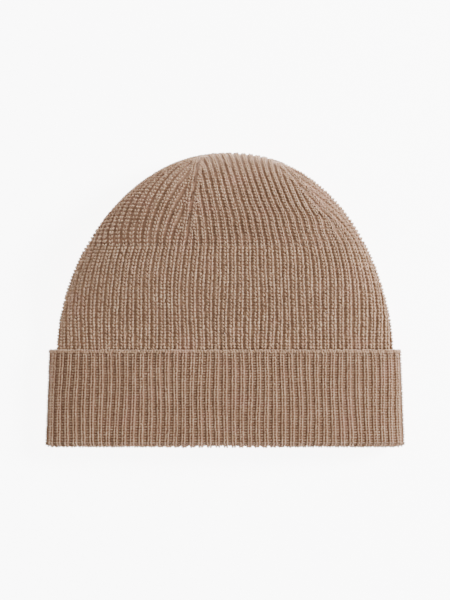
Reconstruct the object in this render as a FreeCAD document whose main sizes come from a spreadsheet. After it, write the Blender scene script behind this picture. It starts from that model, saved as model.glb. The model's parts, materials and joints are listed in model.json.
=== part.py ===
import FreeCAD, Part
import math
import os
import Sketcher

# A ribbed knit beanie with a deep turn-up cuff, lying flat on its back.
# +Y runs from the hem to the crown, +Z out of the front of the hat, and the
# origin is the middle of the underside.  All lengths are millimetres.

doc = FreeCAD.newDocument("rib_beanie")
sheet = doc.addObject("Spreadsheet::Sheet", "Dimensions")

DIMENSIONS = {
    # the knit
    "knit_thickness": 2.8,
    "layer_clearance": 0.3,
    "flattening": 0.4,          # how far the lowest loops are pressed in by the surface below
    # the hat in plan
    "hem_to_crown": 196.0,
    "hem_half_width": 118.3,
    "cuff_height": 65.0,
    "cuff_flare": 2.6,          # how much narrower each side of the cuff is at its top
    "cuff_standoff": 5.4,       # cuff edge beyond the body edge
    "body_taper": 1.95,         # how much the body narrows on each side inside the cuff
    "crown_start": 134.0,       # where the narrowing starts, above the hem
    # the hat in thickness
    "hem_height": 20.0,
    "welt_height": 22.0,
    "crown_loft": 41.0,
    "crown_peak": 148.0,        # where the crown is highest, above the hem
    "crown_edge_height": 9.0,   # height of the top edge above the surface below
    "underside_curl": 38.0,     # length over which the underside lifts towards the top edge
    # turned and edged parts of the knit
    "hem_fold_depth": 3.0,
    "hem_rounding": 1.5,
    "welt_depth": 2.4,
    # narrowing lines and the point where they meet
    "left_line_offset": 26.0,   # starts of the two lines seen from the front
    "right_line_offset": 66.0,
    "left_line_end": 16.0,      # the same lines beyond the top edge
    "right_line_end": 28.0,
    "apex_offset": 10.0,        # the gathered point, short of the top edge on the underside
    "apex_lean": 4.0,
    # seam, yarns and tack
    "seam_offset": -20.0,
    "seam_radius": 1.2,
    "yarn_radius": 0.9,
    "gather_radius": 6.0,
    "tail_radius": 0.7,
    "tail_length": 24.0,
    "tack_width": 8.0,
    "tack_depth": 1.8,
    "tack_rounding": 0.5,
    # care label
    "label_length": 30.0,
    "label_width": 14.0,
    "label_thickness": 0.5,
    "label_above_hem": 94.0,
    "thread_radius": 0.45,
    "label_clearance": 0.4,
}
for row, (name, value) in enumerate(DIMENSIONS.items(), start=1):
    sheet.set(f"A{row}", name)
    sheet.set(f"B{row}", str(value))
    sheet.setAlias(f"B{row}", name)
doc.recompute()


def size(name):
    """A driving dimension, read from the sheet."""
    return float(getattr(sheet, name))


# Places along the hat that several pieces share
HEM = -size("hem_to_crown") / 2
CROWN_TOP = size("hem_to_crown") / 2
FOLD_END = HEM + size("hem_fold_depth")
CUFF_TOP = HEM + size("cuff_height")
WELT_START = CUFF_TOP - size("welt_depth")
NARROWING = HEM + size("crown_start")
PEAK = HEM + size("crown_peak")
LAYER = size("knit_thickness") + size("layer_clearance")
BODY_INSIDE = LAYER + size("knit_thickness")
BODY_HALF_WIDTH = size("hem_half_width") - size("cuff_flare") - size("cuff_standoff")

# Shape numbers of the soft outlines
PLAN_POWER, PLAN_ROOT = 1.75, 2.12      # the dome of the crown in plan
LOFT_POWER, LOFT_ROOT = 2.6, 2.2        # the front of the crown, seen from the side
CURL_POWER = 3.0                        # the underside near the top edge
SECTION_POWER = 2.6                     # a cross-section of the hat
WIDEST_SHARE = 0.42                     # height of the widest point of a cross-section
SETTLE_LENGTH = 26.0                    # the body comes down to the surface beyond the cuff
SECTION_POINTS = 28
BODY_STATIONS = 13
SEAM_RUNS = 12
SEAM_LIFT = 1.7                        # the ridge clears the curved floor it lies on


def smooth(share):
    share = min(max(share, 0.0), 1.0)
    return share * share * (3 - 2 * share)


def dome(share, power, root):
    """A quarter of a superellipse: 1 at share 0, and 0 at share 1."""
    return max(1 - min(max(share, 0.0), 1.0) ** power, 0.0) ** (1 / root)


def body_outline(y):
    """Half width, underside and front height of the body and crown at y."""
    if y < CUFF_TOP:
        share = (CUFF_TOP - y) / size("cuff_height")
        half_width = BODY_HALF_WIDTH + size("body_taper") * share
        top = size("welt_height") + (size("hem_height") - size("welt_height")) * share - LAYER
        return half_width, LAYER, top
    half_width = BODY_HALF_WIDTH * dome((y - CUFF_TOP) / (CROWN_TOP - CUFF_TOP), PLAN_POWER, PLAN_ROOT)
    edge = size("crown_edge_height")
    start = size("welt_height") - LAYER
    top = start + (size("crown_loft") - start) * smooth((y - CUFF_TOP) / (PEAK - CUFF_TOP))
    top = edge + (top - edge) * dome((y - PEAK) / (CROWN_TOP - PEAK), LOFT_POWER, LOFT_ROOT)
    settled = smooth((y - CUFF_TOP) / SETTLE_LENGTH)
    low = LAYER + (-size("flattening") - LAYER) * settled
    curl = (y - CROWN_TOP + size("underside_curl")) / size("underside_curl")
    low = edge + (low - edge) * dome(curl, CURL_POWER, CURL_POWER)
    return half_width, low, top


def cuff_outline(y):
    """The same for the cuff, which lies outside the body."""
    share = (CUFF_TOP - y) / size("cuff_height")
    half_width = size("hem_half_width") - size("cuff_flare") * (1 - share)
    top = size("welt_height") + (size("hem_height") - size("welt_height")) * share
    return half_width, -size("flattening"), top


def section(y, outline, inset=0.0):
    """A closed, soft-edged cross-section of the hat at y."""
    half_width, low, top = outline
    half_width, low, top = half_width - inset, low + inset, top - inset
    widest = low + WIDEST_SHARE * (top - low)
    points = []
    for index in range(SECTION_POINTS):
        turn = 2 * math.pi * index / SECTION_POINTS
        across, up = math.cos(turn), math.sin(turn)
        x = half_width * math.copysign(abs(across) ** (2 / SECTION_POWER), across)
        rise = (top - widest) if up >= 0 else (widest - low)
        z = widest + rise * math.copysign(abs(up) ** (2 / SECTION_POWER), up)
        points.append(FreeCAD.Vector(x, y, z))
    curve = Part.BSplineCurve()
    curve.interpolate(points, PeriodicFlag=True)
    return Part.Wire([curve.toShape()])


def loft(stations, outline, inset=0.0):
    """A solid through the cross-sections at the stations."""
    wires = [section(y, outline(y), inset) for y in stations]
    return Part.makeLoft(wires, True, False)


def spread(start, end, count):
    return [start + (end - start) * index / (count - 1) for index in range(count)]


REACH = 400.0       # larger than the hat
above_surface = Part.makeBox(REACH, REACH, REACH, FreeCAD.Vector(-REACH / 2, -REACH / 2, 0))
SIDE_FOLD = size("hem_height") / 2
front_half = Part.makeBox(REACH, REACH, REACH, FreeCAD.Vector(-REACH / 2, -REACH / 2, SIDE_FOLD))
back_half = Part.makeBox(REACH, REACH, SIDE_FOLD, FreeCAD.Vector(-REACH / 2, -REACH / 2, 0))

knit_pieces = {}

# Body: a tube of rib knit from the hem fold to where the narrowing starts
body_stations = spread(FOLD_END, NARROWING, BODY_STATIONS)
tube = loft(body_stations, body_outline)
tube = tube.cut(loft(body_stations, body_outline, size("knit_thickness")))
tube = tube.common(above_surface)
knit_pieces["body_front_panel"] = tube.common(front_half)
knit_pieces["body_back_panel"] = tube.common(back_half)


def cuff_ring(start, end):
    """A ring of the cuff's knit between two places along the hat."""
    ring = loft([start, end], cuff_outline)
    ring = ring.cut(loft([start, end], cuff_outline, size("knit_thickness")))
    return ring.common(above_surface)


# Cuff: the same knit turned up outside the body, between its fold and its welt
cuff = cuff_ring(FOLD_END, WELT_START)
knit_pieces["cuff_front"] = cuff.common(front_half)
knit_pieces["cuff_back"] = cuff.common(back_half)

# Welt: the closed starting edge that runs along the top of the cuff
knit_pieces["cuff_welt"] = cuff_ring(WELT_START, CUFF_TOP)

# Hem fold: where the knit turns back on itself along the bottom edge
rounding = size("hem_rounding")
turns = [index * math.pi / 6 for index in range(4)]
fold_wires = [section(FOLD_END, cuff_outline(FOLD_END))]
for turn in turns:
    y = HEM + rounding * (1 - math.sin(turn))
    fold_wires.append(section(y, cuff_outline(y), rounding * (1 - math.cos(turn))))
fold = Part.makeLoft(fold_wires, True, True)
mouth = loft([HEM - rounding, FOLD_END], body_outline, size("knit_thickness"))
knit_pieces["hem_fold"] = fold.cut(mouth).common(above_surface)

# Crown: a domed shell, narrowed in four sections that meet at the gathered point
roundness = 8
arcs = [index * math.pi / 2 / roundness for index in range(roundness + 1)]
close_to_top = 0.995


def crown_stations(end):
    """Stations that crowd together towards the rounded top edge."""
    return [NARROWING + (end - NARROWING) * close_to_top * math.sin(turn) for turn in arcs]


thickness = size("knit_thickness")
crown = loft(crown_stations(CROWN_TOP), body_outline)


def crown_inside(y):
    """The outline inside the crown, which ends one thickness short of the top edge."""
    shift = thickness * (y - NARROWING) / (CROWN_TOP - thickness - NARROWING)
    half_width, low, top = body_outline(y + shift)
    closing = dome((y - PEAK) / (CROWN_TOP - thickness - PEAK), LOFT_POWER, LOFT_ROOT)
    inset = thickness * (0.2 + 0.8 * closing)
    return half_width - inset, low + inset, top - inset


crown_hollow = loft(crown_stations(CROWN_TOP - thickness), crown_inside)
crown = crown.cut(crown_hollow).common(above_surface)

# The narrowing lines in plan.  On the front they run to the top edge; from there, and
# from their starts on the underside, they run to the gathered point.
edge_height = size("crown_edge_height")
beyond = CROWN_TOP + size("apex_offset")
far = REACH / 2
apex = (size("apex_lean"), CROWN_TOP - size("apex_offset"))
left_start = (-size("left_line_offset"), NARROWING)
left_end = (-size("left_line_end"), beyond)
right_start = (size("right_line_offset"), NARROWING)
right_end = (size("right_line_end"), beyond)
back_left = (-size("right_line_offset"), NARROWING)
back_right = (size("left_line_offset"), NARROWING)
left_side = [(-far, beyond), (-far, NARROWING)]
right_side = [(far, NARROWING), (far, beyond)]


def prism(corners, low, high):
    """The space over a plan outline, between two heights."""
    points = [FreeCAD.Vector(x, y, low) for x, y in corners + corners[:1]]
    return Part.Face(Part.makePolygon(points)).extrude(FreeCAD.Vector(0, 0, high - low))


crown_plans = {
    "crown_section_front": ([left_start, right_start, right_end, left_end],
                            [apex, right_end, left_end]),
    "crown_section_left": ([left_start, left_end] + left_side,
                           [back_left, apex, left_end] + left_side),
    "crown_section_right": ([right_start] + right_side + [right_end],
                            [back_right] + right_side + [right_end, apex]),
    "crown_section_back": (None, [back_left, back_right, apex]),
}
for name, (front_plan, back_plan) in crown_plans.items():
    space = prism(back_plan, 0, edge_height)
    if front_plan:
        space = space.fuse(prism(front_plan, edge_height, REACH))
    knit_pieces[name] = crown.common(space)

parts = []


def finished(piece, name):
    """Name a sub-part and put it on the list of what is kept."""
    piece.Label = name
    parts.append(piece)
    return piece


def place(piece, position, rotation=None):
    piece.Placement = FreeCAD.Placement(position, rotation or FreeCAD.Rotation())


for name, shape in knit_pieces.items():
    skin = finished(doc.addObject("Part::Feature", name + "_knit"), name)
    skin.Shape = shape


def inside_floor(y, x=0.0):
    """Height of the inner surface of the back of the hat at a place in plan."""
    if y > NARROWING:
        half_width, low, top = crown_inside(y)
    else:
        half_width, low, top = body_outline(y)
        half_width, low, top = half_width - thickness, low + thickness, top - thickness
    widest = low + WIDEST_SHARE * (top - low)
    depth = (1 - (abs(x) / half_width) ** SECTION_POWER) ** (1 / SECTION_POWER)
    return widest - (widest - low) * depth


# Back seam: the ridge that closes the flat-knitted panel, inside the back
seam_radius = size("seam_radius")
seam_end = apex[1] - size("gather_radius") - 2 * size("yarn_radius")
seam_line = []
for y in [FOLD_END, CUFF_TOP] + spread(CUFF_TOP, seam_end, SEAM_RUNS)[1:]:
    share = max(y - NARROWING, 0) / (apex[1] - NARROWING)
    x = size("seam_offset") * (1 - share) + apex[0] * share
    lift = seam_radius * SEAM_LIFT
    seam_line.append(FreeCAD.Vector(x, y, inside_floor(y, x) + lift))
hem_to_apex = FreeCAD.Vector(0, 1, 0)
seam_rounds = [Part.Wire(Part.makeCircle(seam_radius, point, hem_to_apex)) for point in seam_line]
seam = finished(doc.addObject("Part::Feature", "seam_ridge"), "back_seam")
seam.Shape = Part.makeLoft(seam_rounds, True, True)

# Closing yarn: drawn through the last loops at the gathered point, with its tail
gather = finished(doc.addObject("Part::Torus", "gather_ring"), "crown_closing_yarn")
gather.setExpression("Radius1", "Dimensions.gather_radius")
gather.setExpression("Radius2", "Dimensions.yarn_radius")
ring_back = apex[1] - size("gather_radius")
ring_front = apex[1] + size("gather_radius")
rise = inside_floor(ring_front) - inside_floor(ring_back)
tilt = math.degrees(math.atan2(rise, ring_front - ring_back))
ring_height = inside_floor(ring_back) + rise / 2 + size("yarn_radius") + 2 * size("layer_clearance")
place(gather, FreeCAD.Vector(apex[0], apex[1], ring_height),
      FreeCAD.Rotation(FreeCAD.Vector(1, 0, 0), tilt))

tail = finished(doc.addObject("Part::Cylinder", "tail_end"), "yarn_tail")
tail.setExpression("Radius", "Dimensions.tail_radius")
tail.setExpression("Height", "Dimensions.tail_length")
tail_start = ring_back - 2 * size("yarn_radius")
tail_side = apex[0] + size("gather_radius")
tail_height = inside_floor(tail_start) + size("tail_radius") + size("layer_clearance")
place(tail, FreeCAD.Vector(tail_side, tail_start, tail_height),
      FreeCAD.Rotation(FreeCAD.Vector(1, 0, 0), 90))

# Cuff tack: the bar of stitches that holds the welt to the body at the back seam
tack = finished(doc.addObject("PartDesign::Body", "tack_bar"), "cuff_tack")
plane = [item for item in tack.Origin.OriginFeatures if item.Role == "XY_Plane"][0]
bar = tack.newObject("Sketcher::SketchObject", "bar_outline")
bar.AttachmentSupport = [(plane, "")]
bar.MapMode = "FlatFace"
half, depth = size("tack_width") / 2, size("tack_depth")
corners = [(-half, 0), (half, 0), (half, depth), (-half, depth)]
for index in range(4):
    first = FreeCAD.Vector(*corners[index], 0)
    second = FreeCAD.Vector(*corners[(index + 1) % 4], 0)
    bar.addGeometry(Part.LineSegment(first, second), False)
for index in range(4):
    bar.addConstraint(Sketcher.Constraint("Coincident", index, 2, (index + 1) % 4, 1))
for index in (0, 2):
    bar.addConstraint(Sketcher.Constraint("Horizontal", index))
    bar.addConstraint(Sketcher.Constraint("Vertical", index + 1))
bar.addConstraint(Sketcher.Constraint("Symmetric", 0, 1, 0, 2, -1, 1))
width_rule = bar.addConstraint(Sketcher.Constraint("DistanceX", 0, 1, 0, 2, 2 * half))
depth_rule = bar.addConstraint(Sketcher.Constraint("DistanceY", 1, 1, 1, 2, depth))
bar.setExpression(f"Constraints[{width_rule}]", "Dimensions.tack_width")
bar.setExpression(f"Constraints[{depth_rule}]", "Dimensions.tack_depth")
pad = tack.newObject("PartDesign::Pad", "bar_thickness")
pad.Profile = bar
pad.setExpression("Length", "Dimensions.knit_thickness")
doc.recompute()
softened = tack.newObject("PartDesign::Fillet", "bar_edges")
free_edges = []
for index, edge in enumerate(pad.Shape.Edges, start=1):
    if edge.BoundBox.YMin > depth / 2:
        free_edges.append(f"Edge{index}")
softened.Base = (pad, free_edges)
softened.setExpression("Radius", "Dimensions.tack_rounding")
tack.Tip = softened
place(tack, FreeCAD.Vector(size("seam_offset"), CUFF_TOP, 0))

# Care label: a small blank tab whose sewn edge turns on its thread beside the seam
thread_x = size("seam_offset") + seam_radius + size("label_clearance") + size("thread_radius")
label_y = HEM + size("label_above_hem")
thread_z = inside_floor(label_y) + size("thread_radius") + size("label_clearance")
hinge = FreeCAD.Vector(thread_x, label_y, thread_z)
along = FreeCAD.Rotation(FreeCAD.Vector(1, 0, 0), -90)


def sewing_thread(name):
    thread = doc.addObject("Part::Cylinder", name)
    thread.setExpression("Radius", "Dimensions.thread_radius")
    thread.setExpression("Height", "Dimensions.label_length")
    place(thread, hinge, along)
    return thread


finished(sewing_thread("label_stitching"), "care_label_thread")
tab = doc.addObject("Part::Box", "label_tab")
tab.setExpression("Length", "Dimensions.label_width")
tab.setExpression("Width", "Dimensions.label_length")
tab.setExpression("Height", "Dimensions.label_thickness")
place(tab, hinge - FreeCAD.Vector(0, 0, size("label_thickness") / 2))
label = finished(doc.addObject("Part::Cut", "label_with_stitch_line"), "care_label")
label.Base = tab
label.Tool = sewing_thread("stitch_line")

doc.recompute()

for item in doc.Objects:
    if {"Invalid", "Error"} & set(item.State):
        raise RuntimeError(f"{item.Name} could not be built: {item.State}")
for piece in parts:
    if piece.Shape.isNull() or not piece.Shape.isValid() or not piece.Shape.Solids:
        raise RuntimeError(f"{piece.Label} is not a valid solid")

os.makedirs("parts", exist_ok=True)
for piece in parts:
    piece.Shape.exportStep("parts/" + piece.Label + ".step")
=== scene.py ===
import json
import math
import bpy
import numpy as np
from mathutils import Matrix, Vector

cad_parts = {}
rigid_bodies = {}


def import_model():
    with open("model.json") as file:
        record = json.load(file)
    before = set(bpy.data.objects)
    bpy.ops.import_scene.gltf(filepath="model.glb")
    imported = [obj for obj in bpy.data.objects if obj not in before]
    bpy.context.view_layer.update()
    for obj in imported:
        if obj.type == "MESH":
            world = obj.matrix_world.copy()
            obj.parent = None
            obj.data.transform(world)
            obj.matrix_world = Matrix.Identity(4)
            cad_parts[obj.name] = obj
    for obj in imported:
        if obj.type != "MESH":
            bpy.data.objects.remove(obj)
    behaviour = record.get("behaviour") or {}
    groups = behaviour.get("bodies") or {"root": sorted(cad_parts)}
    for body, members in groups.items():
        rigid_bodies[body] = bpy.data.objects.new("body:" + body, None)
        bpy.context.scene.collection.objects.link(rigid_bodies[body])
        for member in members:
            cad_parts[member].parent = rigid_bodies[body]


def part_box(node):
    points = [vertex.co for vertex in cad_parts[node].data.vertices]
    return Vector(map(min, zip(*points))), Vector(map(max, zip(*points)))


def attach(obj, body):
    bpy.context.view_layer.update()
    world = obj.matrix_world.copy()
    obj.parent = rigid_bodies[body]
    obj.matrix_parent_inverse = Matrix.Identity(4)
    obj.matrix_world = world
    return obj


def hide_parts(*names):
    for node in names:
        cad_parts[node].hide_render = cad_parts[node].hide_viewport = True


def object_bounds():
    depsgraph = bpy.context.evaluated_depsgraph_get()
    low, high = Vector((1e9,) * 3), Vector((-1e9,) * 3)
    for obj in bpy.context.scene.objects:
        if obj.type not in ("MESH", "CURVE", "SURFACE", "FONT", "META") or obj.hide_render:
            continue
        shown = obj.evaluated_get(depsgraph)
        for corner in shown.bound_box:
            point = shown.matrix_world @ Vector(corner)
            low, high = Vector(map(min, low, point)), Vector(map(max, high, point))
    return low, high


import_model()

cad_low, cad_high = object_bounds()
bpy.ops.object.select_all(action="DESELECT")

# ---------------------------------------------------------------- the hat as it lies
# A rib knit beanie lying flat on its back: +Y runs from hem to crown, +Z out of the front.
# Its skin is one knit layer that follows a soft-edged cross-section all the way up.
# Lengths in this script are millimetres until a mesh is made.
MM = 0.001
HEM, CROWN_TOP = cad_low.y / MM, -cad_low.y / MM
CUFF_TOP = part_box("cuff_welt")[1].y / MM
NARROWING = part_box("body_front_panel")[1].y / MM
PEAK = 50.0                     # where the crown is highest
KNIT = 2.8                      # thickness of one layer of knit
LAYER = KNIT + 0.3              # a layer and the air behind it
PLUMP = 1.6                     # the yarn of the side ribs, pressed out beyond the even skin
HEM_HALF_WIDTH = cad_high.x / MM + PLUMP
CUFF_FLARE, CUFF_STANDOFF, BODY_TAPER = 2.6, 5.4, 1.95
BODY_HALF_WIDTH = HEM_HALF_WIDTH - CUFF_FLARE - CUFF_STANDOFF
HEM_HEIGHT, WELT_HEIGHT = 20.0, 22.0
CROWN_LOFT, CROWN_EDGE, UNDERSIDE_CURL = 41.0, 9.0, 38.0
SECTION_POWER, WIDEST_SHARE = 2.6, 0.42
SETTLE = 26.0


def smooth(share):
    share = np.clip(share, 0, 1)
    return share * share * (3 - 2 * share)


def dome(share, power, root):
    """A quarter of a superellipse: 1 at share 0, and 0 at share 1."""
    return np.maximum(1 - np.clip(share, 0, 1) ** power, 0) ** (1 / root)


def body_outline(y):
    """Half width, underside and front height of the body and crown at y."""
    y = np.asarray(y, float)
    share = (CUFF_TOP - y) / (CUFF_TOP - HEM)
    tucked = (BODY_HALF_WIDTH + BODY_TAPER * share, LAYER + 0 * y,
              WELT_HEIGHT + (HEM_HEIGHT - WELT_HEIGHT) * share - LAYER)
    half_width = BODY_HALF_WIDTH * dome((y - CUFF_TOP) / (CROWN_TOP - CUFF_TOP), 1.75, 2.12)
    top = WELT_HEIGHT - LAYER
    top = top + (CROWN_LOFT - top) * smooth((y - CUFF_TOP) / (PEAK - CUFF_TOP))
    top = CROWN_EDGE + (top - CROWN_EDGE) * dome((y - PEAK) / (CROWN_TOP - PEAK), 2.6, 2.2)
    low = LAYER * (1 - smooth((y - CUFF_TOP) / SETTLE))
    curl = (y - CROWN_TOP + UNDERSIDE_CURL) / UNDERSIDE_CURL
    low = CROWN_EDGE + (low - CROWN_EDGE) * dome(curl, 3.0, 3.0)
    free = (half_width, low, top)
    return [np.where(y < CUFF_TOP, a, b) for a, b in zip(tucked, free)]


def cuff_outline(y):
    """The same for the cuff, which lies outside the body."""
    y = np.asarray(y, float)
    share = (CUFF_TOP - y) / (CUFF_TOP - HEM)
    top = WELT_HEIGHT + (HEM_HEIGHT - WELT_HEIGHT) * share
    return [HEM_HALF_WIDTH - CUFF_FLARE * (1 - share), 0 * y, top]


def inset(outline, depth):
    return [outline[0] - depth, outline[1] + depth, outline[2] - depth]


TURNS = np.linspace(0, 2 * math.pi, 1201)
ACROSS = np.sign(np.sin(TURNS)) * np.abs(np.sin(TURNS)) ** (2 / SECTION_POWER)
UP = np.sign(np.cos(TURNS)) * np.abs(np.cos(TURNS)) ** (2 / SECTION_POWER)


def ring(outline, share):
    """x and z at a share of the way round each cross-section, from the front centre to the right.

    outline holds one value a row; share is one row of shares, or a row for each.
    """
    half_width, low, top = [np.atleast_1d(v)[:, None] for v in outline]
    widest = low + WIDEST_SHARE * (top - low)
    x = half_width * ACROSS
    z = widest + np.where(UP >= 0, top - widest, widest - low) * UP
    length = np.cumsum(np.hypot(np.diff(x), np.diff(z)), axis=1)
    length = np.concatenate([np.zeros((len(x), 1)), length], axis=1)
    share = np.broadcast_to(share, (len(x), np.shape(share)[-1])) % 1.0
    where = share * length[:, -1:]
    out_x = np.array([np.interp(w, l, v) for w, l, v in zip(where, length, x)])
    out_z = np.array([np.interp(w, l, v) for w, l, v in zip(where, length, z)])
    return out_x, out_z


# ---------------------------------------------------------------- yarn and knit finishes
# A soft carded yarn, spun from tan, rosy and olive-brown fibres that don't mix evenly.
# Its colour drifts from stitch to stitch, and short fibres stand off its surface.
WALES = 88


class Sum:
    """A shader socket that can be used in sums and products."""

    def __init__(self, paint, socket):
        self.paint, self.socket = paint, socket

    def _math(self, other, operation, swap=False):
        pair = [other, self] if swap else [self, other]
        return self.paint.node("ShaderNodeMath", {"operation": operation}, pair)

    def __add__(self, other):
        return self._math(other, "ADD")

    def __sub__(self, other):
        return self._math(other, "SUBTRACT")

    def __rsub__(self, other):
        return self._math(other, "SUBTRACT", True)

    def __mul__(self, other):
        return self._math(other, "MULTIPLY")

    __radd__, __rmul__ = __add__, __mul__


class Paint:
    """One material and its nodes."""

    def __init__(self, name, roughness, sheen):
        self.material = bpy.data.materials.new(name)
        self.material.use_nodes = True
        self.tree = self.material.node_tree
        self.shader = self.tree.nodes["Principled BSDF"]
        self.shader.inputs["Roughness"].default_value = roughness
        self.shader.inputs["Specular IOR Level"].default_value = 0.25
        self.shader.inputs["Sheen Weight"].default_value = sheen
        self.shader.inputs["Sheen Roughness"].default_value = 0.45
        self.shader.inputs["Sheen Tint"].default_value = (1.0, 0.86, 0.76, 1)

    def put(self, socket, value):
        if isinstance(value, Sum):
            self.tree.links.new(value.socket, socket)
        elif value is not None:
            socket.default_value = value

    def node(self, kind, settings, values, output=0):
        made = self.tree.nodes.new(kind)
        for name, value in settings.items():
            if name == "stops":
                for stop, (place, colour) in zip(made.color_ramp.elements, value):
                    stop.position, stop.color = place, colour
            else:
                setattr(made, name, value)
        pairs = values.items() if isinstance(values, dict) else enumerate(values)
        for key, value in pairs:
            self.put(made.inputs[key], value)
        return Sum(self, made.outputs[output])

    def objects(self):
        return self.node("ShaderNodeTexCoord", {}, [], "Object")

    def noise(self, where, scale, detail=2.0, rough=0.5):
        return self.node("ShaderNodeTexNoise", {}, {"Vector": where, "Scale": scale, "Detail": detail,
                                                    "Roughness": rough}, "Fac")

    def blend(self, share, first, second):
        made = self.tree.nodes.new("ShaderNodeMix")
        made.data_type = "RGBA"
        for index, value in ((0, share), (6, first), (7, second)):
            self.put(made.inputs[index], value)
        return Sum(self, made.outputs[2])

    def ramp(self, value, low, high):
        return self.node("ShaderNodeMapRange", {"interpolation_type": "SMOOTHSTEP"},
                         {"Value": value, "From Min": low, "From Max": high})

    def finish(self, colour, bump, distance, strength):
        self.put(self.shader.inputs["Base Color"], colour)
        relief = self.node("ShaderNodeBump", {}, {"Height": bump, "Distance": distance,
                                                  "Strength": strength}, "Normal")
        self.put(self.shader.inputs["Normal"], relief)


def yarn_paint(name, deep, middle, light, rosy, olive):
    """Melange yarn: each stitch has its own tone, lowered on the body's channel beads as painted shade, and the
    fibres vary within it.
    """
    paint = Paint(name, 0.92, 0.35)
    here = paint.objects()
    heather = paint.node("ShaderNodeAttribute", {"attribute_name": "heather"}, [], "Fac")
    drift = paint.noise(here, 55.0)
    fibre = paint.noise(here, 900.0, 3.0, 0.65)
    strand = paint.noise(here, 260.0)
    fuzz = paint.noise(here, 2800.0, 2.0, 0.7)
    shade = heather * 0.55 + fibre * 0.42 + strand * 0.25 + fuzz * 0.35 - 0.29
    colour = paint.blend(paint.ramp(shade, 0.0, 0.5), deep, middle)
    colour = paint.blend(paint.ramp(shade, 0.45, 0.95), colour, light)
    colour = paint.blend(paint.ramp(drift, 0.5, 0.75) * 0.5, colour, rosy)
    colour = paint.blend(paint.ramp(strand, 0.54, 0.72) * 0.4, colour, olive)
    twist = paint.node("ShaderNodeAttribute", {"attribute_name": "twist"}, [], "Fac")
    plies = paint.node("ShaderNodeMath", {"operation": "SINE"}, [twist * (2 * math.pi * 3)])
    # The troughs between the plies are painted darker: painted shade in the twist's grooves.
    colour = paint.blend(paint.ramp(plies, -0.2, -1.0) * 0.22, colour, deep)
    paint.finish(colour, fuzz + fibre * 0.7 + plies * 0.45, 0.00035, 0.8)
    return paint.material


yarn = yarn_paint("melange_yarn", (0.21, 0.115, 0.064, 1), (0.385, 0.235, 0.144, 1), (0.585, 0.395, 0.26, 1),
                  (0.45, 0.25, 0.172, 1), (0.355, 0.237, 0.133, 1))
# The ground sheet under the stitches is the same yarn painted much darker: painted shade in the deep grooves between
# the stitches.
painted_shade_ground = yarn_paint("knit_ground_painted_shade", (0.14, 0.075, 0.042, 1), (0.22, 0.125, 0.076, 1), (0.32, 0.195, 0.125, 1),
                    (0.26, 0.14, 0.095, 1), (0.20, 0.125, 0.072, 1))


def mesh_piece(name, points, quads, triangles, material, heather, twist=None):
    """An object in metres from points in millimetres, its faces turned outwards by construction."""
    mesh = bpy.data.meshes.new(name)
    quads = np.asarray(quads, np.int32).reshape(-1, 4)
    triangles = np.asarray(triangles, np.int32).reshape(-1, 3)
    corners = np.concatenate([quads.ravel(), triangles.ravel()])
    sizes = np.concatenate([np.full(len(quads), 4), np.full(len(triangles), 3)]).astype(np.int32)
    starts = np.concatenate([[0], np.cumsum(sizes)[:-1]]).astype(np.int32)
    mesh.vertices.add(len(points))
    mesh.vertices.foreach_set("co", (np.asarray(points, np.float32) * MM).ravel())
    mesh.loops.add(len(corners))
    mesh.loops.foreach_set("vertex_index", corners)
    mesh.polygons.add(len(sizes))
    mesh.polygons.foreach_set("loop_start", starts)
    mesh.update(calc_edges=True)
    mesh.polygons.foreach_set("use_smooth", np.ones(len(sizes), bool))
    for label, values in (("heather", heather), ("twist", np.zeros(len(points)) if twist is None else twist)):
        mesh.attributes.new(label, "FLOAT", "POINT").data.foreach_set("value", values.astype(np.float32))
    mesh.validate()
    piece = bpy.data.objects.new(name, mesh)
    bpy.context.collection.objects.link(piece)
    mesh.materials.append(material)
    return piece


def value_noise(rows, columns, cell, seed):
    """Soft random values for points at (row, column), each cell wide, in 0 to 1."""
    random = np.random.default_rng(seed)
    table = random.random((64, 64))
    r, c = np.asarray(rows) / cell, np.asarray(columns) / cell
    r0, c0 = np.floor(r).astype(int), np.floor(c).astype(int)
    fr, fc = smooth(r - r0), smooth(c - c0)

    def corner(i, j):
        return table[(r0 + i) % 64, (c0 + j) % 64]
    low = corner(0, 0) * (1 - fc) + corner(0, 1) * fc
    high = corner(1, 0) * (1 - fc) + corner(1, 1) * fc
    return low * (1 - fr) + high * fr


def closed_sheet(name, outer, inner, around, material, seed):
    """A layer of knit from rows of points on its two faces; around joins the ends of each row."""
    rows = np.concatenate([outer, inner[::-1]])
    count, columns = rows.shape[:2]
    index = np.arange(count * columns).reshape(count, columns)
    down = np.roll(index, -1, axis=0)
    if around:
        right, down_right = np.roll(index, -1, axis=1), np.roll(down, -1, axis=1)
        quads = np.stack([index, right, down_right, down], -1).reshape(-1, 4)
    else:
        quads = np.stack([index[:, :-1], index[:, 1:], down[:, 1:], down[:, :-1]], -1).reshape(-1, 4)
        half = len(outer)
        front = index[:half]
        back = index[half:][::-1]
        left = np.stack([front[:-1, 0], front[1:, 0], back[1:, 0], back[:-1, 0]], -1)
        last = np.stack([front[:-1, -1], back[:-1, -1], back[1:, -1], front[1:, -1]], -1)
        quads = np.concatenate([quads, left, last])
    grid_rows, grid_columns = np.indices((count, columns))
    heather = value_noise(grid_rows.ravel(), grid_columns.ravel() / 3, 1.5, seed)
    points = rows.reshape(-1, 3)
    points[:, 2] = np.maximum(points[:, 2], LOWEST)
    return mesh_piece(name, points, quads, [], material, heather)


def grid_out(points, around):
    """Outward directions on a grid whose rows run right and whose columns run up the hat."""
    if around:
        right = np.roll(points, -1, 1) - np.roll(points, 1, 1)
    else:
        right = np.gradient(points, axis=1)
    out = np.cross(right, np.gradient(points, axis=0))
    return out / (np.linalg.norm(out, axis=-1, keepdims=True) + 1e-9)


LOWEST = 0.08               # the loops that lie on the surface below are pressed flat against it
WALE_DEPTH, CHANNEL_DEPTH = 1.1, 1.72


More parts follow.
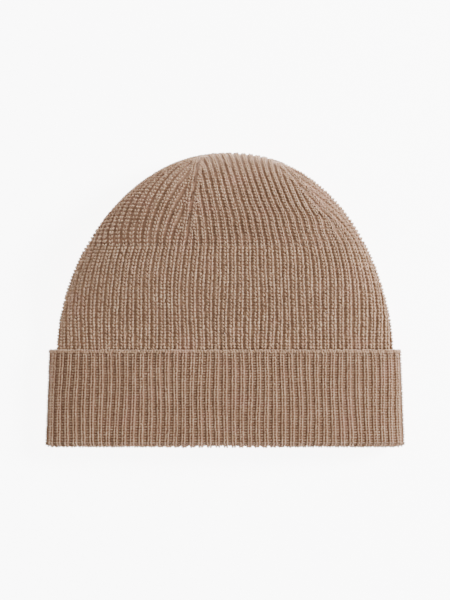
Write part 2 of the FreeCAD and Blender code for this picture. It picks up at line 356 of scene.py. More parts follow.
def rib_depth(wale):
    """How far the ground lies under the outermost yarn: wale is 0 on a raised wale, 0.5 in a channel."""
    return WALE_DEPTH + (CHANNEL_DEPTH - WALE_DEPTH) * (0.5 - 0.5 * np.cos(2 * math.pi * wale)) ** 1.3


def frames(place, wale, course, hand, heart=None):
    """Points on a skin with their outward, across and along directions; hand is -1 on a reversed skin.

    heart is a point inside that the outward directions have to turn away from.
    """
    step = 0.15
    along = place(wale, course + step) - place(wale, course - step)
    across = place(wale + step, course) - place(wale - step, course)
    spot = place(wale, course)
    out = np.cross(across, along) * hand
    if heart is not None:
        out *= np.where(np.sum(out * (spot - heart), -1, keepdims=True) < 0, -1, 1)
    out /= np.linalg.norm(out, axis=-1, keepdims=True) + 1e-9
    along /= np.linalg.norm(along, axis=-1, keepdims=True) + 1e-9
    across = np.cross(along, out) * hand
    return spot, out, across, along


def grains(points, out, side, along, length, width, height, sides, rings, droop):
    """Short lengths of yarn: spindles along their own direction, with ends that dip into the knit."""
    n = len(points)
    stations = np.linspace(-0.78, 0.78, rings)
    girth = np.sqrt(np.maximum(1 - np.abs(stations) ** 2.4, 0.1))
    stations = np.concatenate([[-1], stations, [1]])
    girth = np.concatenate([[0], girth, [0]])
    angles = 2 * math.pi * (np.arange(sides) + 0.5) / sides - math.pi / 2
    length, width, height = [np.broadcast_to(v, (n,))[:, None, None, None] for v in (length, width, height)]

    def ring_points(first, last):
        s = stations[first:last][None, :, None, None]
        g = girth[first:last][None, :, None, None]
        a = angles[None, None, :, None]
        centre = points[:, None, None] + along[:, None, None] * s * length / 2
        centre = centre - out[:, None, None] * droop * s * s
        return (centre + side[:, None, None] * np.cos(a) * g * width / 2
                + out[:, None, None] * np.sin(a) * g * height / 2)
    body = ring_points(1, rings + 1).reshape(n, -1, 3)
    tips = np.concatenate([ring_points(0, 1)[:, :, 0], ring_points(rings + 1, rings + 2)[:, :, 0]], axis=1)
    verts = np.concatenate([body, tips], axis=1)
    per = verts.shape[1]
    grid = np.arange(rings * sides).reshape(rings, sides)
    nxt = np.roll(grid, -1, axis=1)
    quads = np.stack([grid[:-1], nxt[:-1], nxt[1:], grid[1:]], -1).reshape(-1, 4)
    first_tip, last_tip = rings * sides, rings * sides + 1
    start = np.stack([np.full(sides, first_tip), nxt[0], grid[0]], -1)
    end = np.stack([np.full(sides, last_tip), grid[-1], nxt[-1]], -1)
    shift = (np.arange(n) * per)[:, None, None]
    ends = np.concatenate([start, end])
    if np.sum(np.cross(side[0], out[0]) * along[0]) < 0:
        quads, ends = quads[:, ::-1], ends[:, ::-1]
    quads = (quads[None] + shift).reshape(-1, 4)
    triangles = (ends[None] + shift).reshape(-1, 3)
    winding = np.concatenate([(stations[1:-1, None] * 0.45 + np.arange(sides) / sides).ravel(), [0, 1]])
    return verts.reshape(-1, 3), quads, triangles, np.tile(winding, n)


def grain_piece(name, parts):
    """One piece of yarn from several lots of grains, each with its own shades."""
    made, shades, total = [], [], 0
    for *shape, shade in parts:
        points, quads, triangles, winding = grains(*shape)
        made.append((points, quads + total, triangles + total, winding))
        shades.append(np.repeat(shade, len(points) // len(shade)))
        total += len(points)
    points, quads, triangles, winding = [np.concatenate(lot) for lot in zip(*made)]
    points[:, 2] = np.maximum(points[:, 2], LOWEST)
    return mesh_piece(name, points, quads, triangles, yarn, np.concatenate(shades), winding)


def stitches(name, place, wale, course, look, seed, sides=6, rings=4, sink=0.0):
    """Every stitch of a stretch of rib: two legs on the raised wale and a bead in the channel beside it.

    wale and course are the places of the stitches, and look holds the knit's own measures.
    """
    random = np.random.default_rng(seed)
    parts = []
    jitter = look["jitter"]
    base = value_noise(course * 0.8, wale * 1.6, 2.2, seed) * 0.6
    for hand in (-1, 1):
        across_shift = hand * look["leg_spread"] + random.normal(0, 0.02 * jitter, len(wale))
        along_shift = random.normal(0, 0.07 * jitter, len(wale))
        spot, out, side, along = frames(place, wale + across_shift, course + along_shift, look["hand"],
                                       look.get("heart"))
        tilt = hand * look["tilt"] + random.normal(0, 0.10 * jitter, len(wale))
        lean = along * np.cos(tilt)[:, None] + side * np.sin(tilt)[:, None]
        cross = side * np.cos(tilt)[:, None] - along * np.sin(tilt)[:, None]
        width = look["leg_width"] * random.normal(1, 0.07 * jitter, len(wale))
        length = look["leg_length"] * random.normal(1, 0.07 * jitter, len(wale))
        spot = spot - out * (look["leg_depth"] + sink + random.normal(0, 0.07 * jitter, len(wale)))[:, None]
        parts.append((spot, out, cross, lean, length, width, width * 0.95, sides, rings, look["leg_droop"],
                      base + random.random(len(wale)) * 0.45))
    # The channel beads' tone is scaled down on the body and crown: painted shade in the rib channels.
    spot, out, side, along = frames(place, wale + 0.5 + random.normal(0, 0.03 * jitter, len(wale)), course,
                                    look["hand"], look.get("heart"))
    spot = spot - out * (look["bead_depth"] + sink + random.normal(0, 0.08 * jitter, len(wale)))[:, None]
    bead = look["bead_width"] * random.normal(1, 0.12 * jitter, len(wale))
    parts.append((spot, out, along, side, bead * look["bead_reach"], bead * look["bead_squash"], bead, 6, 2, 0.25,
                  (base + random.random(len(wale)) * 0.55) * look["bead_painted_shade"]))
    return grain_piece(name, parts)


# ---------------------------------------------------------------- turn-up cuff and hem fold
# The lower part of the hat, turned up on the outside so that its reverse shows.
# One layer runs down from the welt, round the hem fold and up again inside the hat.
CUFF_COURSE = 1.76
FOLD_RADIUS = (LAYER + KNIT) / 2
FOLD_CENTRE = HEM + FOLD_RADIUS
WELT_DEPTH = 2.4
OUTSIDE = CUFF_TOP - WELT_DEPTH - FOLD_CENTRE
FOLD_LENGTH = math.pi * FOLD_RADIUS
INSIDE = 58.0


def cuff_skin(wale, along, depth):
    """A point of the folded layer: along runs from the welt, depth goes in from its face."""
    wale, along = np.broadcast_arrays(np.asarray(wale, float), np.asarray(along, float))
    depth = np.broadcast_to(depth, wale.shape)
    angle = np.clip((along - OUTSIDE) / FOLD_RADIUS, 0, math.pi)
    rest = np.maximum(along - OUTSIDE - FOLD_LENGTH, 0)
    straight = np.maximum(OUTSIDE - along, 0)
    y = FOLD_CENTRE + straight + rest - (FOLD_RADIUS - depth) * np.sin(angle)
    through = 0.5 - 0.5 * np.cos(angle)
    shape = y.shape
    y, through, depth = y.ravel(), through.ravel(), depth.ravel()
    outline = [a + (b - a) * through for a, b in zip(inset(cuff_outline(y), depth),
                                                     inset(body_outline(y), KNIT - depth))]
    ease = 0.06 * np.sin(y * 0.11 + wale.ravel() * 0.35) + 0.06 * np.sin(y * 0.05 - wale.ravel() * 0.8)
    x, z = ring(outline, ((wale.ravel() + ease) / WALES)[:, None])
    return np.stack([x[:, 0], y, z[:, 0]], -1).reshape(*shape, 3)


def cuff_place(wale, course):
    return cuff_skin(wale, course * CUFF_COURSE, 0.0)


along_face = np.concatenate([np.arange(-1.2, OUTSIDE, 0.95),
                             OUTSIDE + np.linspace(0, FOLD_LENGTH, 11)[:-1],
                             OUTSIDE + FOLD_LENGTH + np.linspace(0, INSIDE, 24)])
along_back = np.concatenate([np.linspace(-1.2, OUTSIDE, 5)[:-1], OUTSIDE + np.linspace(0, FOLD_LENGTH, 5),
                             OUTSIDE + FOLD_LENGTH + np.linspace(0, INSIDE, 5)[1:]])
columns = np.arange(WALES * 8) / 8
wale, along = np.meshgrid(columns, along_face)
face = cuff_skin(wale, along, 0.0)
face = face + grid_out(face, True) * rib_depth(wale)[..., None]
wale, along = np.meshgrid(columns, along_back)
back = cuff_skin(wale, along, KNIT - 0.05)
cuff_knit = closed_sheet("cuff_knit", face[::-1], back[::-1], True, painted_shade_ground, 11)
cuff_look = {"hand": -1, "leg_spread": 0.165, "tilt": 0.28, "bead_reach": 1.2,
             "leg_width": 1.26, "leg_length": 1.85, "leg_depth": 0.45, "leg_droop": 1.1,
             "bead_depth": 1.42, "bead_width": 1.25, "bead_squash": 0.85, "bead_painted_shade": 1.0, "jitter": 1.0}
cuff_courses = np.arange(-0.35, (OUTSIDE + FOLD_LENGTH + 14) / CUFF_COURSE)


def cuff_stitches(name, first, last, seed):
    wale, course = np.meshgrid(np.arange(first, last), cuff_courses)
    return stitches(name, cuff_place, wale.ravel().astype(float), course.ravel(), cuff_look, seed, 5, 3)


QUARTER = WALES // 4
cuff_front = cuff_stitches("cuff_front_stitches", -QUARTER, QUARTER, 21)
cuff_back = cuff_stitches("cuff_back_stitches", QUARTER, 3 * QUARTER, 22)

# ---------------------------------------------------------------- welt
# The cast-on edge of the cuff: a soft band a little thicker than the knit, with slanting loops.
# It is knitted in one with the cuff and stands free of the body.
WELT_MIDDLE = CUFF_TOP - WELT_DEPTH / 2


def welt_skin(wale, angle, size=1.0):
    """A point of the welt's rounded section; angle 0 faces the crown and a quarter turn faces out."""
    wale, angle = np.broadcast_arrays(np.asarray(wale, float), np.asarray(angle, float))
    shape = wale.shape
    wale, angle = wale.ravel(), angle.ravel()
    plump = size * (1 + 0.12 * np.sin(wale * 1.9) * np.sin(wale * 0.37) + 0.12 * np.cos(2 * math.pi * wale))
    y = WELT_MIDDLE + 1.45 * plump * np.cos(angle)
    depth = 1.75 - 1.35 * plump * np.sin(angle)
    x, z = ring(inset(cuff_outline(np.full(len(y), WELT_MIDDLE)), depth), (wale / WALES)[:, None])
    return np.stack([x[:, 0], y, z[:, 0]], -1).reshape(*shape, 3)


wale, angle = np.meshgrid(np.arange(WALES * 6) / 6, np.linspace(math.pi, 0, 7))
face = welt_skin(wale, angle, 0.72)
wale, angle = np.meshgrid(np.arange(WALES * 6) / 6, np.linspace(-math.pi * 0.85, -0.15 * math.pi, 5))
back = welt_skin(wale, angle, 0.72)
welt_band = closed_sheet("cuff_welt_band", face, back, True, painted_shade_ground, 13)
loops = np.arange(WALES * 3) / 3.0


def welt_grains(name, seed):
    random = np.random.default_rng(seed)
    parts, count = [], len(loops)
    for turn, slant in ((0.22, 0.75), (0.42, -0.7), (0.62, 0.75), (0.05, 0.6)):
        wale = loops + random.normal(0, 0.03, count) + turn * 0.3
        spot, out, side, along = frames(lambda w, a: welt_skin(w, math.pi * a), wale, np.full(count, turn), -1)
        tilt = slant + random.normal(0, 0.2, count)
        lean = side * np.cos(tilt)[:, None] + along * np.sin(tilt)[:, None]
        cross = along * np.cos(tilt)[:, None] - side * np.sin(tilt)[:, None]
        width = random.normal(1.2, 0.18, count)
        spot = spot - out * random.normal(0.42, 0.14, count)[:, None]
        parts.append((spot, out, cross, lean, random.normal(2.7, 0.2, count), width, width, 5, 3, 0.35,
                      random.random(count) * 0.6 + 0.05))
    return grain_piece(name, parts)


welt_loops = welt_grains("cuff_welt_loops", 14)

# ---------------------------------------------------------------- body
# The straight tube of ribs between the cuff and the crown, one layer of the same knit.
# It stands up out of the cuff and carries on into the crown without a seam round it.
BODY_COURSE = 2.05
BODY_START = FOLD_CENTRE + INSIDE - 1.0
FIRST_LINE = -5.5           # the left narrowing line in front, in wales to the right of the front centre
LEAN = 2.5                  # the crown has settled a little to the right


def leaning(points):
    """Points of the hat moved over as the crown leans."""
    moved = points.copy()
    moved[..., 0] += LEAN * smooth(points[..., 1] / CROWN_TOP)
    return moved


def body_share(wale, y):
    """Share of the way round at which a wale lies; the ribs in front are drawn a little wider."""
    pull = 0.058 * smooth((y - CUFF_TOP) / (NARROWING - CUFF_TOP))
    share = wale / WALES
    return share + pull * np.sin(2 * math.pi * share) / (2 * math.pi)


def body_skin(wale, y, depth=0.0):
    wale, y, depth = np.broadcast_arrays(np.asarray(wale, float), np.asarray(y, float), depth)
    shape = y.shape
    wale, y, depth = wale.ravel(), y.ravel(), depth.ravel()
    fade = 1 - smooth((y - NARROWING + 20) / 20)
    ease = fade * (0.08 * np.sin(y * 0.09 + wale * 0.4) + 0.05 * np.sin(y * 0.05 - wale * 0.9))
    x, z = ring(inset(body_outline(y), depth), body_share(wale + ease, y)[:, None])
    return np.stack([x[:, 0], y, z[:, 0]], -1).reshape(*shape, 3)


def body_place(wale, course):
    return leaning(body_skin(wale, CUFF_TOP + course * BODY_COURSE))


rise = np.concatenate([[BODY_START], np.linspace(CUFF_TOP - 3, NARROWING, 60)])
wale, y = np.meshgrid(columns, rise)
face = leaning(body_skin(wale, y))
face = face - grid_out(face, True) * rib_depth(wale)[..., None]
wale, y = np.meshgrid(columns, np.linspace(BODY_START, NARROWING, 9))
back = leaning(body_skin(wale, y, KNIT))
# The body's ground sheet is painted darker than its yarn, a little less than the other ground: painted shade in the
# grooves between its ribs.
body_painted_shade_ground = yarn_paint("body_ground_yarn_painted_shade", (0.19, 0.105, 0.060, 1), (0.30, 0.175, 0.106, 1),
                         (0.43, 0.27, 0.172, 1), (0.35, 0.20, 0.133, 1), (0.27, 0.172, 0.10, 1))
body_knit = closed_sheet("body_knit", face, back, True, body_painted_shade_ground, 12)
# The body's and crown's channel beads are painted darker: painted shade in the rib channels.
body_look = {"hand": 1, "leg_spread": 0.195, "tilt": 0.50, "leg_width": 1.56,
             "leg_length": 2.2, "leg_depth": 0.42, "leg_droop": 0.95, "bead_reach": 1.5,
             "bead_depth": 1.8, "bead_width": 1.1, "bead_squash": 0.85, "bead_painted_shade": 0.45,
             "jitter": 1.25}


def body_stitches(name, first, last, seed):
    courses = np.arange(-1, 33) + 0.65
    wale, course = np.meshgrid(np.arange(first, last), courses)
    return stitches(name, body_place, wale.ravel().astype(float), course.ravel(), body_look, seed, 5, 4)


body_front = body_stitches("body_front_stitches", -QUARTER, QUARTER, 31)
body_back = body_stitches("body_back_stitches", QUARTER, 3 * QUARTER, 32)

# ---------------------------------------------------------------- crown
# Four sections narrowed along four lines, each line kept between two plain ribs.
# The knit is let settle over the rounded top, as the lines and the gathered point pull it.
CROWN_COURSES = 45
TAPER_END = 36
EASY_PITCH = 4.9
CENTRE = np.array([0.0, NARROWING, 15.0])
APEX = np.array([4.0, 88.0])
APEX_RING = 3.7
COURSE_LENGTHS = {"front": 2.07, "right": 1.95, "back": 1.2, "left": 2.2}


def half_wales(course):
    """Half the width of a section, in ribs, at a course of the crown."""
    course = np.asarray(course, float)
    steep = 5.5 - (course - TAPER_END) * (5.5 - 0.6) / (CROWN_COURSES - TAPER_END)
    return np.where(course < TAPER_END, 11 - 5.5 * np.clip(course / TAPER_END, 0, 1) ** 1.35, steep)


def onto_crown(points):
    """Points moved straight away from the middle of the crown until they lie on its skin."""
    way = points - CENTRE
    way /= np.linalg.norm(way, axis=-1, keepdims=True) + 1e-9
    near, far = np.full(way.shape[:-1], 2.0), np.full(way.shape[:-1], 140.0)
    for _ in range(20):
        middle = (near + far) / 2
        x, y, z = np.moveaxis(CENTRE + way * middle[..., None], -1, 0)
        half_width, low, top = body_outline(np.minimum(y, CROWN_TOP - 0.001))
        widest = low + WIDEST_SHARE * (top - low)
        half_height = np.where(z > widest, top - widest, widest - low)
        level = (np.abs(x) / np.maximum(half_width, 0.01)) ** SECTION_POWER
        level = level + (np.abs(z - widest) / np.maximum(half_height, 0.01)) ** SECTION_POWER
        outside = (level > 1) | (y > CROWN_TOP)
        near, far = np.where(outside, near, middle), np.where(outside, middle, far)
    return CENTRE + way * near[..., None]


def underside(x, y, depth=0.0):
    """The lower of the two places where the skin, or a face depth inside it, stands over a point."""
    half_width, low, top = body_outline(y)
    half_width, low, top = half_width - depth, low + depth, top - depth
    widest = low + WIDEST_SHARE * (top - low)
    return widest - (widest - low) * (1 - (np.abs(x) / half_width) ** SECTION_POWER) ** (1 / SECTION_POWER)


ROWS = np.concatenate([np.arange(0, CROWN_COURSES, 2.0), [CROWN_COURSES]])
COLUMNS = np.arange(WALES)
start = body_skin(COLUMNS + FIRST_LINE, NARROWING)
turn = 2 * math.pi * (COLUMNS - 11) / WALES
finish = np.stack([APEX[0] + APEX_RING * np.sin(turn), APEX[1] + APEX_RING * np.cos(turn)], -1)
finish = np.concatenate([finish, underside(finish[:, :1], finish[:, 1:])], -1)
first_way, last_way = start - CENTRE, finish - CENTRE
first_way /= np.linalg.norm(first_way, axis=-1, keepdims=True)
last_way /= np.linalg.norm(last_way, axis=-1, keepdims=True)
angle = np.arccos(np.clip(np.sum(first_way * last_way, -1), -0.999, 0.999))[None, :, None]
share = (ROWS / CROWN_COURSES)[:, None, None]
cloth = (np.sin((1 - share) * angle) * first_way + np.sin(share * angle) * last_way) / np.sin(angle)
cloth = onto_crown(CENTRE + cloth * 10)
cloth[0] = start
cloth[-1] = finish

NAMES = ("front", "right", "back", "left")

# The front section and its two lines, drawn from the ends of the body's ribs to the top edge.
LEFT_LINE = np.array([(start[0, 0], NARROWING), (-21.5, 66.0), (-17.0, 97.0)])
RIGHT_LINE = np.array([(start[QUARTER, 0], NARROWING), (69.5, 45.0), (65.5, 53.0), (57.5, 61.5), (46.5, 77.0),
                       (36.7, 91.5)])
for line in (LEFT_LINE, RIGHT_LINE):
    line[1:, 0] -= LEAN * smooth(line[1:, 1] / CROWN_TOP)


def along_line(line, share):
    lengths = np.concatenate([[0], np.cumsum(np.hypot(*np.diff(line, axis=0).T))])
    return [np.interp(share * lengths[-1], lengths, line[:, k]) for k in (0, 1)]


def upper_side(x, y):
    half_width, low, top = body_outline(y)
    widest = low + WIDEST_SHARE * (top - low)
    rounded = np.maximum(1 - (np.abs(x) / half_width) ** SECTION_POWER, 0) ** (1 / SECTION_POWER)
    return widest + (top - widest) * rounded


slope = (start - body_skin(COLUMNS + FIRST_LINE, NARROWING - 2.0))[:, 0] / 2.0
edge_y = np.linspace(NARROWING, CROWN_TOP, 400)
edge_x = body_outline(edge_y)[0]
steps = np.sin(np.linspace(0, math.pi / 2, 200))
left, right = along_line(LEFT_LINE, steps), along_line(RIGHT_LINE, steps)
edge_rows = np.flatnonzero(ROWS <= TAPER_END)
for column in range(QUARTER + 1):
    share = column / QUARTER
    shift = start[column, 0] - (left[0][0] + (right[0][0] - left[0][0]) * share)
    x = left[0] + (right[0] - left[0]) * share + shift * (1 - steps)
    y = left[1] + (right[1] - left[1]) * share
    reach = np.interp(-abs(x[-1]), -edge_x, edge_y)
    y = NARROWING + (y - NARROWING) * (reach - NARROWING) / (y[-1] - NARROWING)
    rise = y - NARROWING
    turn_in = slope[column] - (x[3] - x[0]) / (y[3] - y[0])
    x = x + turn_in * rise * np.exp(-rise / 26) * (1 - rise / rise[-1])
    path = np.stack([x, y, upper_side(x, y)], -1)
    length = np.concatenate([[0], np.cumsum(np.linalg.norm(np.diff(path, axis=0), axis=1))])
    where = ROWS[edge_rows] / TAPER_END * length[-1]
    path = np.stack([np.interp(where, length, path[:, k]) for k in range(3)], -1)
    moved = path - cloth[edge_rows, column]
    cloth[edge_rows, column] = path
    if column == 0:
        for other in range(1, QUARTER + 1):
            cloth[edge_rows, -other] += moved * (1 - other / (QUARTER + 1))
    if column == QUARTER:
        for other in range(1, QUARTER + 1):
            cloth[edge_rows, QUARTER + other] += moved * (1 - other / (QUARTER + 1))
held = np.zeros(cloth.shape[:2], bool)
held[0] = held[-1] = True
held[:len(edge_rows), :QUARTER + 1] = True
kept = cloth.copy()

links = []
for row_step, column_step in ((0, 1), (1, 0), (1, 1), (1, -1)):
    for index, name in enumerate(NAMES):
        own = np.arange(index * QUARTER, (index + 1) * QUARTER + 1)
        local = own - index * QUARTER - 11
        inside = (local + column_step >= -11) & (local + column_step <= 11)
        r, c = np.meshgrid(np.arange(len(ROWS) - row_step), np.arange(len(own))[inside], indexing="ij")
        q0 = local[c] / 11 * half_wales(ROWS[r]) * EASY_PITCH
        q1 = (local[c] + column_step) / 11 * half_wales(ROWS[r + row_step]) * EASY_PITCH
        rest = np.hypot(q1 - q0, (ROWS[r + row_step] - ROWS[r]) * COURSE_LENGTHS[name])
        links.append((r.ravel(), own[c].ravel() % WALES, (r + row_step).ravel(),
                      (own[c] + column_step).ravel() % WALES, rest.ravel()))
r0, c0, r1, c1, rest = [np.concatenate(v) for v in zip(*links)]
first, second = r0 * WALES + c0, r1 * WALES + c1
for turn_count in range(400):
    flat = cloth.reshape(-1, 3)
    gap = flat[second] - flat[first]
    distance = np.linalg.norm(gap, axis=-1) + 1e-9
    short = distance < rest
    push = gap * (np.where(short, 0.05, 0.16) * (distance - rest) / distance)[:, None]
    move = np.stack([np.bincount(first, push[:, k], len(flat)) - np.bincount(second, push[:, k], len(flat))
                     for k in range(3)], -1)
    cloth = (flat + move).reshape(cloth.shape)
    cloth[1:-1] += 0.12 * ((cloth[2:] + cloth[:-2]) / 2 - cloth[1:-1])
    cloth += 0.12 * ((np.roll(cloth, 1, 1) + np.roll(cloth, -1, 1)) / 2 - cloth)
    cloth[held] = kept[held]
    if turn_count % 4 == 3:
        cloth[1:-1] = onto_crown(cloth[1:-1])
        cloth[held] = kept[held]


def cubic(where, axis_length):
    """Places and weights of the four neighbours used to read a smooth curve."""
    base = np.clip(np.floor(where), 0, axis_length - 2)
    t = where - base
    weights = np.stack([(-t + 2 * t ** 2 - t ** 3) / 2, (2 - 5 * t ** 2 + 3 * t ** 3) / 2,
                        (t + 4 * t ** 2 - 3 * t ** 3) / 2, (t ** 3 - t ** 2) / 2], -1)
    return base.astype(int)[..., None] + np.arange(-1, 3), weights


def crown_skin(section, wale, course):
    """A point of the crown from a rib of one section, counted from the section's centre, and a course."""
    wale, course = np.broadcast_arrays(np.asarray(wale, float), np.asarray(course, float))
    course = np.clip(course, 0, CROWN_COURSES)
    across = wale / half_wales(course) * 11 + 11
    row = np.interp(course, ROWS, np.arange(len(ROWS)))
    rows, row_weights = cubic(row, len(ROWS))
    cols, col_weights = cubic(across, WALES)
    rows = np.clip(rows, 0, len(ROWS) - 1)
    cols = (cols + section * QUARTER) % WALES
    points = cloth[rows[..., :, None], cols[..., None, :]]
    points = np.sum(points * row_weights[..., :, None, None] * col_weights[..., None, :, None], axis=(-3, -2))
    inside = course < CROWN_COURSES - 0.5
    settled = onto_crown(points)
    return leaning(np.where(inside[..., None], settled, points))


crown_look = dict(body_look, leg_spread=0.16, leg_width=1.2, leg_length=2.1, bead_width=1.0, heart=CENTRE)


def crown_section(index, name, seed):
    courses = np.arange(0, CROWN_COURSES) + 0.15
    inner_wales, inner_courses = np.meshgrid(np.arange(-10.5, 11), courses)
    keep = np.abs(inner_wales) < half_wales(inner_courses) - 0.6
    line = half_wales(courses) - 0.5
    wale = np.concatenate([inner_wales[keep], -line, line])
    course = np.concatenate([inner_courses[keep], courses, courses])
    follow = np.concatenate([np.zeros(keep.sum()), -np.ones(len(line)), np.ones(len(line))])
    sink = np.where(follow == 0, 0.8 * smooth((np.abs(wale) - half_wales(course) + 1.25) / 0.65),
                    1.0 * np.exp(-((course - TAPER_END) / 4) ** 2))

    def place(w, c):
        return crown_skin(index, w + follow * (half_wales(c) - half_wales(course)), c)
    knots = stitches("crown_%s_stitches" % name, place, wale, course, crown_look, seed, 5, 4, sink)
    rows = np.concatenate([np.arange(0, CROWN_COURSES, 1.0), [CROWN_COURSES]])
    share = np.linspace(-1.015, 1.015, QUARTER * 8 + 1)
    share, course = np.meshgrid(share, rows)
    wale = share * half_wales(course)
    skin = crown_skin(index, wale, course)
    way = skin - CENTRE
    reach = np.linalg.norm(way, axis=-1, keepdims=True)
    out = grid_out(skin, False)
    out *= np.where(np.sum(out * way, -1, keepdims=True) < 0, -1, 1)
    flatten = 1 - 0.5 * np.exp(-((course - TAPER_END) / 5) ** 2)
    face = skin - out * (rib_depth(wale + 0.5) * flatten)[..., None]
    back = CENTRE + way * (1 - KNIT / reach)
    sheet = closed_sheet("crown_%s_knit" % name, face, back, False, painted_shade_ground, seed + 1)
    return sheet, knots


crown = {name: crown_section(index, name, 41 + 2 * index) for index, name in enumerate(NAMES)}

# ---------------------------------------------------------------- back seam
# The plied yarn that closes the knit up the middle of the back, on the inside.
# It wanders a little from stitch to stitch and bends over to the gathered point of the crown.


def plied(name, path, radius, seed, spacing=1.0):
    """A plied yarn along a path: short grains that lie aslant round its middle line."""
    random = np.random.default_rng(seed)
    path = np.asarray(path, float)
    lengths = np.concatenate([[0], np.cumsum(np.linalg.norm(np.diff(path, axis=0), axis=1))])
    count = max(int(lengths[-1] / (spacing * radius)), 3)
    where = np.linspace(0, lengths[-1], count)
    spots = np.stack([np.interp(where, lengths, path[:, k]) for k in range(3)], -1)
    along = np.gradient(spots, axis=0)
    along /= np.linalg.norm(along, axis=1, keepdims=True)
    upward = np.where(np.abs(along[:, 2:]) > 0.9, [[1.0, 0, 0]], [[0, 0, 1.0]])
    side = np.cross(along, upward)
    side /= np.linalg.norm(side, axis=1, keepdims=True)
    up = np.cross(side, along)
    parts = []
    for ply in range(3):
        turn = where / (radius * 3.2) + 2 * math.pi * ply / 3
        out = side * np.cos(turn)[:, None] + up * np.sin(turn)[:, None]
        round_it = np.cross(along, out)
        lean = along * 0.84 + round_it * 0.54
        cross = np.cross(out, lean)
        parts.append((spots + out * radius * 0.42, out, cross, lean, np.full(count, radius * 2.6),
                      np.full(count, radius * 1.0), np.full(count, radius * 1.0), 5, 3, radius * 0.3,
                      random.random(count) * 0.5 + 0.2))
    return grain_piece(name, parts)


seam_y = np.linspace(-94, 80, 260)
seam_x = -20 + 21.5 * smooth((seam_y - 55) / 27)
seam_wave = 0.5 * np.sin(seam_y * 2.1)
back_seam = plied("back_seam_yarn", np.stack([seam_x + seam_wave, seam_y, underside(seam_x, seam_y, KNIT) + 1.0], -1),
                  1.15, 61)

# ---------------------------------------------------------------- closing yarn and its tail
# A yarn drawn round through the last loops of the crown, with short gathers running in to its
# middle. Its end is darned down the inside of the back.
low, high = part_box("crown_closing_yarn")
gather = (low + high) / 2 / MM
turn = np.linspace(0, 2 * math.pi * 1.08, 90)
reach = 6.0 - 0.25 * turn / math.pi
closing_ring = np.stack([gather.x + reach * np.cos(turn), gather.y + reach * np.sin(turn),
                         gather.z + (high.z - low.z) / MM * 0.36 * np.sin(turn)], -1)
closing_yarn = plied("crown_closing_ring", closing_ring, 0.9, 62)
draws = []
for spoke in range(11):
    turn = 2 * math.pi * spoke / 11
    t = np.linspace(0.1, 1, 8)
    x, y = APEX[0] + 5.0 * t * np.cos(turn), APEX[1] + 5.0 * t * np.sin(turn)
    draws.append(np.stack([x, y, underside(x, y) + 0.9 + 0.5 * (1 - t)], -1))
spots = leaning(np.concatenate(draws))
directions = np.concatenate([np.gradient(d, axis=0) for d in draws])
directions /= np.linalg.norm(directions, axis=1, keepdims=True)
down = np.tile([0.0, 0.0, -1.0], (len(spots), 1))
crown_gather = grain_piece("crown_gather_yarn", [(
    spots, down, np.cross(directions, down), directions, np.full(len(spots), 2.2), np.full(len(spots), 2.0),
    np.full(len(spots), 1.5), 6, 3, 0.2, np.random.default_rng(63).random(len(spots)) * 0.5 + 0.2)])
low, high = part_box("yarn_tail")
tail_y = np.linspace(high.y / MM, low.y / MM, 60)
tail_x = (low.x + high.x) / 2 / MM + 0.5 * np.sin((tail_y - tail_y[0]) * 0.35)
tail_z = np.full_like(tail_y, (low.z + high.z) / 2 / MM)
yarn_tail = plied("crown_yarn_tail", np.stack([tail_x, tail_y, tail_z], -1), 0.66, 64)

# ---------------------------------------------------------------- cuff tack
# A few bars of the same yarn that catch the cuff to the back seam, so that it stays turned up.
# They go to and fro between the cuff and the body.
low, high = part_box("cuff_tack")
tack_parts = np.linspace(0, 1, 40)
tack_x = (low.x + (high.x - low.x) * (0.1 + 0.8 * tack_parts)) / MM
tack_wave = 0.55 * np.sin(tack_parts * math.pi * 9)
tack = plied("cuff_tack_yarn", np.stack([tack_x, (low.y + high.y) / 2 / MM + 0.2 * tack_wave,
                                         (low.z + high.z) / 2 / MM + 1.1 * tack_wave], -1), 0.7, 65)

# ---------------------------------------------------------------- care label and its thread
# A soft blank woven tape beside the back seam, inside the hat.
# One line of fine thread holds its edge, and it swings about that edge.
low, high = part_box("care_label_thread")
thread_y = np.linspace(low.y / MM + 0.3, high.y / MM - 0.3, 80)
thread_z = (low.z + high.z) / 2 / MM
thread = plied("care_label_stitching", np.stack([np.full_like(thread_y, (low.x + high.x) / 2 / MM), thread_y,
                                                 thread_z + 0.12 * np.sin(thread_y * 3.0)], -1), 0.3, 66, 1.6)

label_paint = Paint("label_satin", 0.45, 0.3)
here = label_paint.objects()
weave = label_paint.node("ShaderNodeTexWave", {"bands_direction": "X"}, {"Vector": here, "Scale": 900.0,
                                                                        "Distortion": 0.4}, "Fac")
warp = label_paint.node("ShaderNodeTexWave", {"bands_direction": "Y"}, {"Vector": here, "Scale": 900.0,
                                                                       "Distortion": 0.4}, "Fac")
label_paint.finish(label_paint.blend(weave, (0.70, 0.66, 0.58, 1), (0.80, 0.76, 0.69, 1)), weave + warp, 0.0001, 0.6)
label = bpy.data.objects["care_label"]
label.data.materials.clear()
label.data.materials.append(label_paint.material)

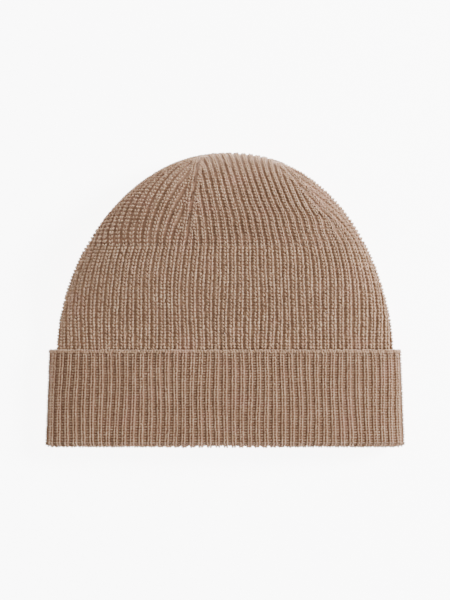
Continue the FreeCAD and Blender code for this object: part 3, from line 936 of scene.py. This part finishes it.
# ---------------------------------------------------------------- lights, floor and camera
view_height = 2.4
camera_data = bpy.data.cameras.new("camera")
camera = bpy.data.objects.new("camera", camera_data)
bpy.context.collection.objects.link(camera)
bpy.context.scene.camera = camera
middle = Vector((0.0, 0.0, 0.02))
camera.location = middle + Vector((0, 0, view_height))
camera_data.sensor_width = 36.0
camera_data.lens = 36.0 * view_height / 0.3967

bpy.ops.mesh.primitive_plane_add(size=6, location=(0, 0, -0.0005))
floor = bpy.context.object
floor.name = "floor"
floor_paint = Paint("floor_white", 0.9, 0.0)
floor_paint.shader.inputs["Base Color"].default_value = (0.93, 0.93, 0.93, 1)
floor_paint.shader.inputs["Emission Color"].default_value = (1, 1, 1, 1)
floor_paint.shader.inputs["Emission Strength"].default_value = 7.7
floor.data.materials.append(floor_paint.material)


def area_light(name, where, size, power, target=middle):
    data = bpy.data.lights.new(name, "AREA")
    data.shape, data.size, data.energy = "DISK", size, power
    light = bpy.data.objects.new(name, data)
    light.location = where
    light.rotation_euler = (target - Vector(where)).to_track_quat("-Z", "Y").to_euler()
    bpy.context.collection.objects.link(light)


area_light("key", (1.7, 0.6, 1.05), 0.7, 118)
area_light("fill", (-1.2, -0.6, 1.6), 1.6, 8)
world = bpy.data.worlds.new("world")
bpy.context.scene.world = world
world.use_nodes = True
world.node_tree.nodes["Background"].inputs["Color"].default_value = (1, 1, 1, 1)
world.node_tree.nodes["Background"].inputs["Strength"].default_value = 0.75

for piece, slot, nodes, knots in (
        (cuff_knit, "cuff_rib_knit", ("cuff_front", "cuff_back", "hem_fold"), (cuff_front, cuff_back)),
        (welt_band, "welt_knit", ("cuff_welt",), (welt_loops,)),
        (body_knit, "body_rib_knit", ("body_front_panel", "body_back_panel"), (body_front, body_back)),
        *((crown[name][0], "body_rib_knit", ("crown_section_" + name,), crown[name][1:]) for name in NAMES)):
    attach(piece, "hat")
    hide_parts(*nodes)
    for other in knots:
        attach(other, "hat")
for piece, slot, node in ((back_seam, "seam_yarn", "back_seam"), (closing_yarn, "seam_yarn", "crown_closing_yarn"),
                          (yarn_tail, "seam_yarn", "yarn_tail"), (tack, "seam_yarn", "cuff_tack")):
    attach(piece, "hat")
    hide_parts(node)
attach(crown_gather, "hat")
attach(thread, "label")
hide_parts("care_label_thread")
